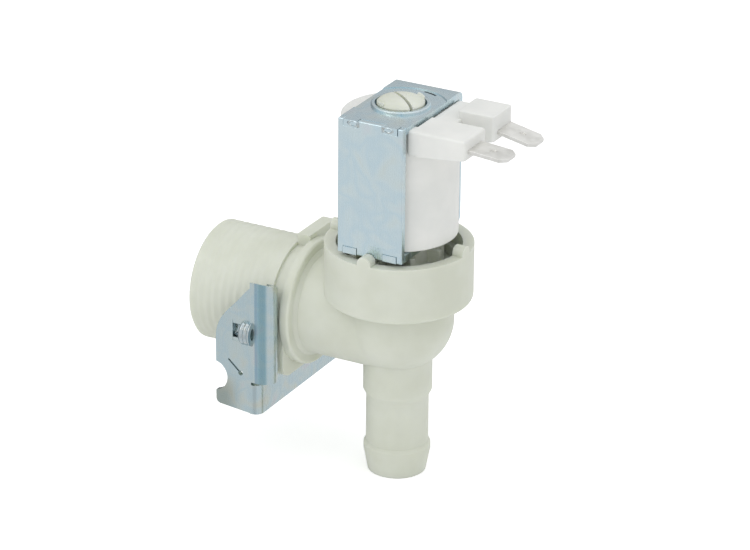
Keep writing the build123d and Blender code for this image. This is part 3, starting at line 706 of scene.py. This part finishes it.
@dataclass
class SheetMetal:
    """Pressed and plated steel pieces: copies of the solids with the rounded edges of sheared sheet."""

    frame: dict[str, Any]
    strip_edge_mm: float = 0.16
    sheet_edge_mm: float = 0.2
    tine_top: float = 9.9 * MM
    tine_side: float = 18.3 * MM
    tine_fall: float = 0.39         # the tines' tops fall this much per length towards the middle

    def slant_tines(self, work: bmesh.types.BMesh) -> None:
        """Shears the tops of both tines along z = tine_top - tine_fall * (tine_side - |y|).

        Args:
            work: Working mesh of the bracket.
        """
        for side in (-1, 1):
            faces = [f for f in work.faces if side * f.calc_center_median().y > 0]
            corners = {v for f in faces for v in f.verts}
            edges = {e for f in faces for e in f.edges}
            way = Vector((0.0, -side * self.tine_fall, 1.0)).normalized()
            cut = bmesh.ops.bisect_plane(work, geom=[*corners, *edges, *faces], clear_outer=True,
                                         plane_co=(0.0, side * self.tine_side, self.tine_top), plane_no=way)
            rim = [e for e in cut["geom_cut"] if isinstance(e, bmesh.types.BMEdge) and e.is_boundary]
            bmesh.ops.holes_fill(work, edges=rim, sides=0)

    def build(self) -> list[bpy.types.Object]:
        """Makes the plated pieces.

        Returns:
            The frame, its front plate and the bracket.
        """
        pieces = []
        for node, finish, slot, edge in (
                ("yoke_frame", ZINC_FRAME, "zinc_plated_strip", self.strip_edge_mm),
                ("yoke_front_plate", ZINC_FRAME, "zinc_plated_strip", self.strip_edge_mm),
                ("mounting_bracket", ZINC_BRACKET, "zinc_plated_sheet", self.sheet_edge_mm)):
            work = merged_copy(self.frame, node)
            if node == "mounting_bracket":
                self.slant_tines(work)
            pieces.append(finished_copy(work, node, finish, edge))
        return pieces


@dataclass
class ScrewSocket:
    """Thread pressed into the two half-tubes of a flange's screw socket, with the run-out behind it."""

    side: int                       # -1 for the flange at -Y, 1 for the one at +Y
    centre_y: float = 17.4 * MM
    centre_z: float = -2.2 * MM
    start: float = 13.9 * MM
    half_length: float = 2.5 * MM
    bore_radius: float = 1.7 * MM
    outer_radius: float = 2.65 * MM
    run_out: float = 1.4 * MM
    run_out_radius: float = 2.2 * MM
    pitch: float = 0.95 * MM
    ridge: float = 0.2 * MM
    ridge_power: float = 0.7        # under 1 narrows the grooves
    proud: float = 0.02 * MM        # how far the skin stands off the solid
    sink: float = 0.04 * MM         # how far its rims run into the solid
    rim: float = 0.03 * MM          # width of the flat at the run-out's mouth
    half_turn: float = 76.0         # degrees that a half-tube reaches to each side
    rows: int = 61
    columns: int = 41

    def ridges(self, along: np.ndarray) -> np.ndarray:
        """Ridge height from 0 to 1: ((1 - cos(2 pi x / pitch)) / 2) ^ ridge_power."""
        return (0.5 - 0.5 * np.cos(2 * np.pi * along / self.pitch)) ** self.ridge_power

    def dent_profile(self) -> Pair:
        """Ridged bore from the middle to the run-out's end, then back along its outside.

        Returns:
            The places along X and the radii there.
        """
        tip = self.start - self.run_out
        along = np.linspace(self.start + self.half_length, tip, self.rows)
        radius = self.bore_radius - self.proud - self.ridge * self.ridges(along - tip)
        radius[0] = self.bore_radius + self.sink
        along = np.concatenate([along, [tip - self.rim, tip - self.rim, tip, self.start + self.sink]])
        radius = np.concatenate([radius, [self.bore_radius + self.rim, self.run_out_radius - self.rim,
                                          self.run_out_radius, self.run_out_radius]])
        return along, radius

    def bulge_profile(self) -> Pair:
        """Ridged outside of the half-tube that stands out, sunk at both ends.

        Returns:
            The places along X and the radii there.
        """
        along = np.linspace(0, self.half_length, self.rows)
        radius = self.outer_radius + self.proud + self.ridge * self.ridges(along)
        radius[[0, -1]] = self.outer_radius - self.sink
        return self.start + self.half_length + along, radius

    def skin(self, profile: Pair, outward: int, edge_radius: float) -> Pair:
        """Carries a profile of (x, radius) round the socket's axis over not quite half a turn.

        Args:
            profile: Places along X and radii.
            outward: 1 for the half that bulges away from the valve, -1 for the other.
            edge_radius: Radius that the two long edges sink to, or 0 to leave them.

        Returns:
            The points and the faces.
        """
        along, radius = (values[:, None] for values in profile)
        turn = np.radians(np.linspace(-self.half_turn, self.half_turn, self.columns))[None, :]
        radius = radius + 0 * turn
        if edge_radius > 0:
            radius[:, [0, -1]] = edge_radius
        y = self.side * (self.centre_y + outward * radius * np.cos(turn))
        z = self.centre_z + radius * np.sin(turn)
        return grid_points(along, y, z), grid_faces(len(along), self.columns, False)

    def build(self) -> bpy.types.Object:
        """Makes the thread of both half-tubes.

        Returns:
            The socket's skin.
        """
        points, faces = join_surfaces([self.skin(self.dent_profile(), -1, 0.0),
                                       self.skin(self.bulge_profile(), 1, self.outer_radius - self.sink)])
        name = "near_socket_thread" if self.side < 0 else "far_socket_thread"
        piece = new_piece(name, points, faces if self.side < 0 else faces[:, ::-1])
        dress(piece, ZINC_THREAD)
        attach(piece, Body.VALVE.value)
        return piece


@dataclass
class FrontPlateMarks:
    """What the press leaves on the frame's front plate: two staking marks and two raised lines."""

    face_y: float = -13.36 * MM
    plate_y: float = -13.3 * MM
    stake_x: float = 4.05 * MM
    stake_z: float = 48.62 * MM
    stake_half_width: float = 1.45 * MM
    stake_half_height: float = 0.66 * MM
    mound: float = 0.15 * MM
    dent: float = 0.30 * MM
    stake_edge: float = 0.98        # share of the half sizes past which the mark is sunk in the plate
    stake_sink: float = 0.04 * MM
    line_heights: tuple[float, ...] = (26.4 * MM, 22.1 * MM)
    line_half_length: float = 6.7 * MM
    line_width: float = 0.5 * MM
    line_rise: float = 0.032 * MM
    line_sink: float = 0.008 * MM
    line_taper: float = 12.0        # each end of a line sinks over its half length divided by this

    def shares(self, columns: int, rows: int) -> Pair:
        """Places from -1 to 1 across and up a patch, one row of the grid to each row."""
        return np.meshgrid(np.linspace(-1, 1, columns), np.linspace(-1, 1, rows))

    def staking_mark(self, x: float, phase: float) -> Pair:
        """Oval mark of the staking tool: a raised ring round a dent, rippled round the middle.

        With rho the distance from the middle over the half sizes and a the angle, the height is
        mound * exp(-((rho - 0.72) / 0.16) ^ 2) * (1 + 0.5 cos(3 a))
        - dent * exp(-(rho / 0.42) ^ 2) * (1 + 0.6 cos(2 a + phase)).

        Args:
            x: Middle of the mark.
            phase: Turns the ripple, so that the two marks differ.

        Returns:
            The points and the faces.
        """
        u, v = self.shares(61, 41)
        rho = np.hypot(u, v)
        angle = np.arctan2(v, u) + phase
        ring = np.exp(-((rho - 0.72) / 0.16) ** 2) * (1 + 0.5 * np.cos(3 * angle))
        middle = np.exp(-(rho / 0.42) ** 2) * (1 + 0.6 * np.cos(2 * angle + phase))
        height = self.mound * ring - self.dent * middle
        height = np.where(rho > self.stake_edge, -self.stake_sink, height)
        points = grid_points(x + self.stake_half_width * u, self.face_y - height,
                             self.stake_z + self.stake_half_height * v)
        return points, grid_faces(*u.shape, False)

    def raised_line(self, z: float) -> Pair:
        """Straight raised line with a half-cosine section and sunk ends.

        Args:
            z: Height of the line.

        Returns:
            The points and the faces.
        """
        u, v = self.shares(41, 9)
        taper = np.clip(self.line_taper * (1 - np.abs(u)), 0, 1)
        height = self.line_rise * np.cos(0.5 * np.pi * v) * taper - self.line_sink
        points = grid_points(self.line_half_length * u, self.plate_y - height,
                             z + 0.5 * self.line_width * v)
        return points, grid_faces(*u.shape, False)

    def build(self) -> list[bpy.types.Object]:
        """Makes the marks of the plate.

        Returns:
            The staking marks and the lines.
        """
        marks = [self.staking_mark(side * self.stake_x, 0.7 + 1.3 * side) for side in (-1, 1)]
        lines = [self.raised_line(z) for z in self.line_heights]
        return [self.joined("staking_marks", marks, ZINC_THREAD),
                self.joined("front_plate_lines", lines, ZINC_FRAME)]

    def joined(self, name: str, sheets: Sequence[Pair], finish: Finish) -> bpy.types.Object:
        """Makes one piece of surfaces given about the coil axis.

        Args:
            name: Name of the piece.
            sheets: Points and faces of each surface.
            finish: Finish of the piece.

        Returns:
            The piece.
        """
        points, faces = join_surfaces(sheets)
        piece = new_piece(name, points + (COIL_AXIS_X, 0, 0), faces)
        dress(piece, finish)
        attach(piece, Body.VALVE.value)
        return piece


@dataclass
class HousingHeel:
    """Rounded end of the near tab's housing, which runs on behind the edge of the frame's front plate."""

    low_x: float = 6.9 * MM         # from the coil axis
    high_x: float = 10.8 * MM
    rounding: float = 1.0 * MM
    front_y: float = -11.02 * MM
    depth: float = 3.2 * MM
    top: float = 48.52 * MM
    low: float = 42.78 * MM         # underside at the low end
    slope: float = 0.1028           # the underside rises towards the tab
    power: float = 9.0              # of the section: the higher, the squarer
    end_power: float = 2.2          # of the rounded low end
    sink: float = 0.08 * MM         # the high end draws in by this, into the housing
    sink_reach: float = 0.9 * MM
    rows: int = 40
    end_rows: int = 18
    columns: int = 72

    def build(self) -> bpy.types.Object:
        """Makes the heel: a rounded rectangle carried along X that closes to a point at both ends.

        The section is (h |cos t| ^ (2 / power), k |sin t| ^ (2 / power)) with the signs of cos t and sin t,
        times (1 - (1 - d / rounding) ^ end_power) ^ (1 / end_power), d being the distance from the low end.

        Returns:
            The heel.
        """
        round_end = self.rounding * (1 - np.cos(np.linspace(0, np.pi / 2, self.end_rows)))
        straight = np.linspace(self.low_x + self.rounding, self.high_x, self.rows - self.end_rows - 1)[1:]
        along = np.concatenate([self.low_x + round_end, straight, [self.high_x, self.high_x]])[:, None]
        turn = np.linspace(0, 2 * np.pi, self.columns, endpoint=False)[None, :]
        near = np.clip((along - self.low_x) / self.rounding, 0, 1)
        swell = (1 - (1 - near) ** self.end_power) ** (1 / self.end_power)
        swell[-1] = 0
        sink = self.sink * np.clip((along - self.high_x + self.sink_reach) / self.sink_reach, 0, 1)
        floor = self.low + self.slope * (along - self.low_x)
        half_y, half_z = self.depth / 2 - sink, (self.top - floor) / 2 - sink
        cos, sin = np.cos(turn), np.sin(turn)
        y = self.front_y + self.depth / 2 + swell * half_y * np.sign(cos) * np.abs(cos) ** (2 / self.power)
        z = (self.top + floor) / 2 + swell * half_z * np.sign(sin) * np.abs(sin) ** (2 / self.power)
        points = grid_points(COIL_AXIS_X + along, y, z)
        work = bmesh.new()
        add_surface(work, points, grid_faces(len(along), self.columns, True))
        bmesh.ops.remove_doubles(work, verts=work.verts, dist=1e-7)
        bmesh.ops.recalc_face_normals(work, faces=work.faces)
        piece = piece_from(work, "near_housing_heel", 60.0)
        dress(piece, WHITE_POLYESTER)
        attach(piece, Body.VALVE.value)
        return piece


@dataclass
class Coil:
    """White coil moulding with its two tabs."""

    frame: dict[str, Any]
    moulding_edge_mm: float = 0.2
    tab_edge_mm: float = 0.08

    def build(self) -> list[bpy.types.Object]:
        """Makes the coil's outside.

        Returns:
            The moulding and the two tabs.
        """
        return [finished_copy(merged_copy(self.frame, node), node, finish, edge)
                for node, finish, slot, edge in (
                    ("coil_overmould", WHITE_POLYESTER, "white_polyester", self.moulding_edge_mm),
                    ("terminal_near", TINNED_BRASS, "tinned_brass", self.tab_edge_mm),
                    ("terminal_far", TINNED_BRASS, "tinned_brass", self.tab_edge_mm))]


@dataclass
class GuideHead:
    """Core guide whose split head snaps through the frame."""

    frame: dict[str, Any]
    plate_top: float = 49.3 * MM
    head_radius: float = 5.05 * MM
    catch_share: float = 0.1        # how much of the catches' overhang is left
    solid_height: float = 2.8 * MM
    solid_round: float = 2.1 * MM
    crown_height: float = 1.8 * MM
    crown_reach: float = 5.2 * MM
    crown_power: float = 2.2
    flat_depth: float = 0.1 * MM    # faces this near the solid's top belong to its flat
    short_edge: float = 0.6 * MM    # edges of the flat up to this length stay whole

    def settle(self, work: bmesh.types.BMesh) -> None:
        """Sets the head down in its hole: the catches draw in and the flat top becomes a crown.

        Heights over the plate are scaled by the crown's own, H (1 - (r / reach) ^ power) ^ (1 / power),
        over the height of the solid's rounded outline at the same radius r.

        Args:
            work: Working mesh of the guide.
        """
        top = self.plate_top + self.solid_height - self.flat_depth
        flats = [f for f in work.faces if f.normal.z > 0.98 and f.calc_center_median().z > top]
        long_edges = [e for e in {e for f in flats for e in f.edges} if e.calc_length() > self.short_edge]
        bmesh.ops.subdivide_edges(work, edges=long_edges, cuts=5, use_grid_fill=True)
        for vertex in work.verts:
            height = vertex.co.z - self.plate_top
            if height <= 0:
                continue
            x, y = vertex.co.x - COIL_AXIS_X, vertex.co.y
            radius = (x * x + y * y) ** 0.5
            if radius > self.head_radius:
                drawn = self.head_radius + self.catch_share * (radius - self.head_radius)
                vertex.co.x, vertex.co.y = COIL_AXIS_X + x * drawn / radius, y * drawn / radius
            radius = min(radius, self.head_radius)
            past = max(radius - (self.head_radius - self.solid_round), 0.0)
            outline = self.solid_height - self.solid_round + (self.solid_round ** 2 - past ** 2) ** 0.5
            share = 1 - (radius / self.crown_reach) ** self.crown_power
            crown = self.crown_height * share ** (1 / self.crown_power)
            vertex.co.z = self.plate_top + height * crown / outline

    def build(self) -> bpy.types.Object:
        """Makes the guide from a merged copy of its solid.

        Returns:
            The guide.
        """
        work = merged_copy(self.frame, "core_guide")
        self.settle(work)
        bmesh.ops.triangulate(work, faces=[f for f in work.faces if len(f.verts) > 4])
        work.normal_update()
        piece = piece_from(work, "core_guide_moulded", 32.0)
        even_shading(piece)
        dress(piece, GUIDE_POLYAMIDE)
        stand_for(piece, "core_guide", Body.VALVE)
        return piece


@dataclass
class ReturnSpring:
    """Compression spring above the plunger."""

    frame: dict[str, Any]
    travel: float = 2.6 * MM        # of the plunger

    def build(self) -> bpy.types.Object:
        """Copies the spring and gives it a mesh of its own.

        Returns:
            The spring piece.
        """
        piece = piece_from(merged_copy(self.frame, "plunger_spring"), "return_spring")
        dress(piece, SPRING_WIRE)
        stand_for(piece, "plunger_spring", Body.VALVE)
        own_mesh(piece)
        return piece


@dataclass
class InnerPieces:
    """Pieces inside the valve that keep the shape of their solids."""

    frame: dict[str, Any]
    finishes: dict[str, Finish] = field(default_factory=lambda: {
        "inlet_strainer": INNER_PLASTIC, "flow_regulator_holder": INNER_PLASTIC,
        "flow_regulator_washer": NITRILE_RUBBER, "diaphragm": NITRILE_RUBBER,
        "diaphragm_insert": INNER_PLASTIC, "plunger": MAGNETIC_STEEL, "plunger_tip": NITRILE_RUBBER,
        "lower_flux_sleeve": MAGNETIC_STEEL, "upper_flux_sleeve": MAGNETIC_STEEL,
        "coil_bobbin": INNER_PLASTIC, "copper_winding": COPPER_WIRE})

    def build(self) -> None:
        """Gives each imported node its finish."""
        for node, finish in self.finishes.items():
            dress(self.frame["nodes"][node], finish)


# ---- studio ---------------------------------------------------------------------------------------


@dataclass(frozen=True)
class Lamp:
    """Soft square lamp: its name, where it hangs, the side of its panel and its power in watts."""

    name: str
    place: Triple
    size: float
    power: float


@dataclass
class Studio:
    """Pale floor, soft light and the camera."""

    azimuth: float = 28.32
    elevation: float = 23.86
    roll: float = 0.51
    distance: float = 762.3 * MM
    lens_mm: float = 172.968
    sensor_mm: float = 36.0
    aim_height: float = 19.0 * MM
    aim_right: float = 5.149 * MM   # how far the aim point lies right of and above the view's middle
    aim_up: float = 7.9583 * MM
    lamps: tuple[Lamp, ...] = (Lamp("key_softbox", (-0.35, -0.75, 0.85), 0.6, 1.4),
                               Lamp("top_softbox", (0.15, 0.1, 1.0), 0.8, 0.7))
    lamp_aim: Triple = (35 * MM, 0.0, 8 * MM)
    floor_z: float = -35.02 * MM
    floor_reach: float = 3.0
    dark_side: Triple = (-0.853, 0.492, -0.174)
    dark_edge: float = 0.5          # cosine of the angle from the dark side at which the room starts to dim
    dark_core: float = 0.95
    stand_side: Triple = (0.096, -0.909, -0.407)    # the dim gap under the camera
    stand_edge: float = 0.86        # cosines of its rim and of its core
    stand_core: float = 0.96
    stand_dim: float = 0.80
    room_light: float = 0.88
    dark_light: float = 0.28
    zenith_lift: float = 1.12
    paper_shine: float = 0.32       # light of its own that keeps the paper white to the camera

    def axes(self) -> tuple[np.ndarray, np.ndarray, np.ndarray]:
        """Works out the way the camera stands.

        Returns:
            Its right, up and back directions.
        """
        turn, tilt, roll = np.radians([self.azimuth, self.elevation, self.roll])
        back = np.array([np.sin(turn) * np.cos(tilt), -np.cos(turn) * np.cos(tilt), np.sin(tilt)])
        level = np.array([np.cos(turn), np.sin(turn), 0.0])
        high = np.cross(back, level)
        right = np.cos(roll) * level + np.sin(roll) * high
        return right, -np.sin(roll) * level + np.cos(roll) * high, back

    def add_camera(self) -> None:
        """Places the camera."""
        right, up, back = self.axes()
        aim = np.array([COIL_AXIS_X, 0.0, self.aim_height])
        place = aim + self.distance * back - self.aim_right * right - self.aim_up * up
        data = bpy.data.cameras.new("camera")
        data.sensor_width = self.sensor_mm
        data.lens = self.lens_mm
        data.clip_start = 0.01
        data.clip_end = 20.0
        camera = place_object("camera", data)
        matrix = Matrix.Identity(4)
        for column, axis in enumerate((right, up, back, place)):
            for row in range(3):
                matrix[row][column] = float(axis[row])
        camera.matrix_world = matrix
        bpy.context.scene.camera = camera

    def add_lamp(self, lamp: Lamp) -> None:
        """Hangs a lamp and turns it to the valve.

        Args:
            lamp: The lamp.
        """
        data = bpy.data.lights.new(lamp.name, "AREA")
        data.shape = "SQUARE"
        data.size = lamp.size
        data.energy = lamp.power
        light = place_object(lamp.name, data)
        light.location = lamp.place
        light.rotation_mode = "QUATERNION"
        light.rotation_quaternion = (Vector(self.lamp_aim) - Vector(lamp.place)).to_track_quat("-Z", "Y")

    def add_world(self) -> None:
        """White to the camera; to the object, a pale room whose dark side gives the metal contrast."""
        world = bpy.data.worlds.new("studio")
        tree = empty_tree(world)
        path = add_node(tree, "ShaderNodeLightPath")
        seen = add_node(tree, "ShaderNodeMath", {"operation": "MAXIMUM"}, {
            0: path.outputs["Is Camera Ray"], 1: path.outputs["Is Transmission Ray"]})
        way = add_node(tree, "ShaderNodeTexCoord").outputs["Generated"]
        toward_dark = add_node(tree, "ShaderNodeVectorMath", {"operation": "DOT_PRODUCT"}, {
            0: way, 1: self.dark_side})
        room = add_node(tree, "ShaderNodeMapRange", {"interpolation_type": "SMOOTHSTEP"}, {
            "Value": toward_dark.outputs["Value"], "From Min": self.dark_edge, "From Max": self.dark_core,
            "To Min": self.room_light, "To Max": self.dark_light})
        height = add_node(tree, "ShaderNodeSeparateXYZ", inputs={0: way})
        lift = add_node(tree, "ShaderNodeMapRange", {"interpolation_type": "SMOOTHSTEP"}, {
            "Value": height.outputs["Z"], "From Min": 0.3, "From Max": 1.0,
            "To Min": 1.0, "To Max": self.zenith_lift})
        toward_stand = add_node(tree, "ShaderNodeVectorMath", {"operation": "DOT_PRODUCT"}, {
            0: way, 1: self.stand_side})
        stand = add_node(tree, "ShaderNodeMapRange", {"interpolation_type": "SMOOTHSTEP"}, {
            "Value": toward_stand.outputs["Value"], "From Min": self.stand_edge, "From Max": self.stand_core,
            "To Min": 1.0, "To Max": self.stand_dim})
        strength = room.outputs["Result"]
        for share in (lift, stand):
            strength = add_node(tree, "ShaderNodeMath", {"operation": "MULTIPLY"}, {
                0: strength, 1: share.outputs["Result"]}).outputs[0]
        sky = add_node(tree, "ShaderNodeBackground", inputs={
            "Color": linear("#FAFBFC"), "Strength": strength})
        white = add_node(tree, "ShaderNodeBackground", inputs={"Color": (1, 1, 1, 1), "Strength": 1.0})
        mix = add_node(tree, "ShaderNodeMixShader", inputs={
            0: seen.outputs[0], 1: sky.outputs[0], 2: white.outputs[0]})
        add_node(tree, "ShaderNodeOutputWorld", inputs={"Surface": mix.outputs[0]})
        bpy.context.scene.world = world

    def add_floor(self) -> None:
        """White sheet under the valve, which keeps the valve's shadow."""
        reach = self.floor_reach
        points = np.array([[-reach, -reach, self.floor_z], [reach, -reach, self.floor_z],
                           [reach, reach, self.floor_z], [-reach, reach, self.floor_z]])
        floor = new_piece("floor", points, np.array([[0, 1, 2, 3]]))
        material = bpy.data.materials.new("white_paper_sheet")
        tree = empty_tree(material)
        place = add_node(tree, "ShaderNodeTexCoord")
        fibre = add_node(tree, "ShaderNodeTexNoise", inputs={
            "Vector": place.outputs["Object"], "Scale": 400.0})
        tone = add_node(tree, "ShaderNodeMapRange", inputs={
            "Value": fibre.outputs["Fac"], "To Min": 0.97, "To Max": 0.98})
        diffuse = add_node(tree, "ShaderNodeBsdfDiffuse", inputs={"Color": tone.outputs["Result"]})
        path = add_node(tree, "ShaderNodeLightPath")
        shine = add_node(tree, "ShaderNodeMath", {"operation": "MULTIPLY"}, {
            0: path.outputs["Is Camera Ray"], 1: self.paper_shine})
        glow = add_node(tree, "ShaderNodeEmission", inputs={"Strength": shine.outputs[0]})
        both = add_node(tree, "ShaderNodeAddShader", inputs={0: diffuse.outputs[0], 1: glow.outputs[0]})
        add_node(tree, "ShaderNodeOutputMaterial", inputs={"Surface": both.outputs[0]})
        floor.data.materials.append(material)
        floor.visible_glossy = False

    def build(self) -> None:
        """Sets the stage, the light and the camera."""
        scene = bpy.context.scene
        scene.view_settings.view_transform = "Standard"
        self.add_floor()
        self.add_world()
        for lamp in self.lamps:
            self.add_lamp(lamp)
        self.add_camera()


def main() -> None:
    """Builds the valve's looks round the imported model."""
    logging.basicConfig(level=logging.INFO, format="%(name)s: %(message)s")
    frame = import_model()
    prepare_finishes()
    for part in (ValveBody(frame), SheetMetal(frame), ScrewSocket(-1), ScrewSocket(1), FrontPlateMarks(),
                 Coil(frame), HousingHeel(), GuideHead(frame), ReturnSpring(frame), InnerPieces(frame)):
        part.build()
        log.info("%s built", type(part).__name__)
    Studio().build()
    log.info("studio built")


if __name__ == "__main__":
    main()
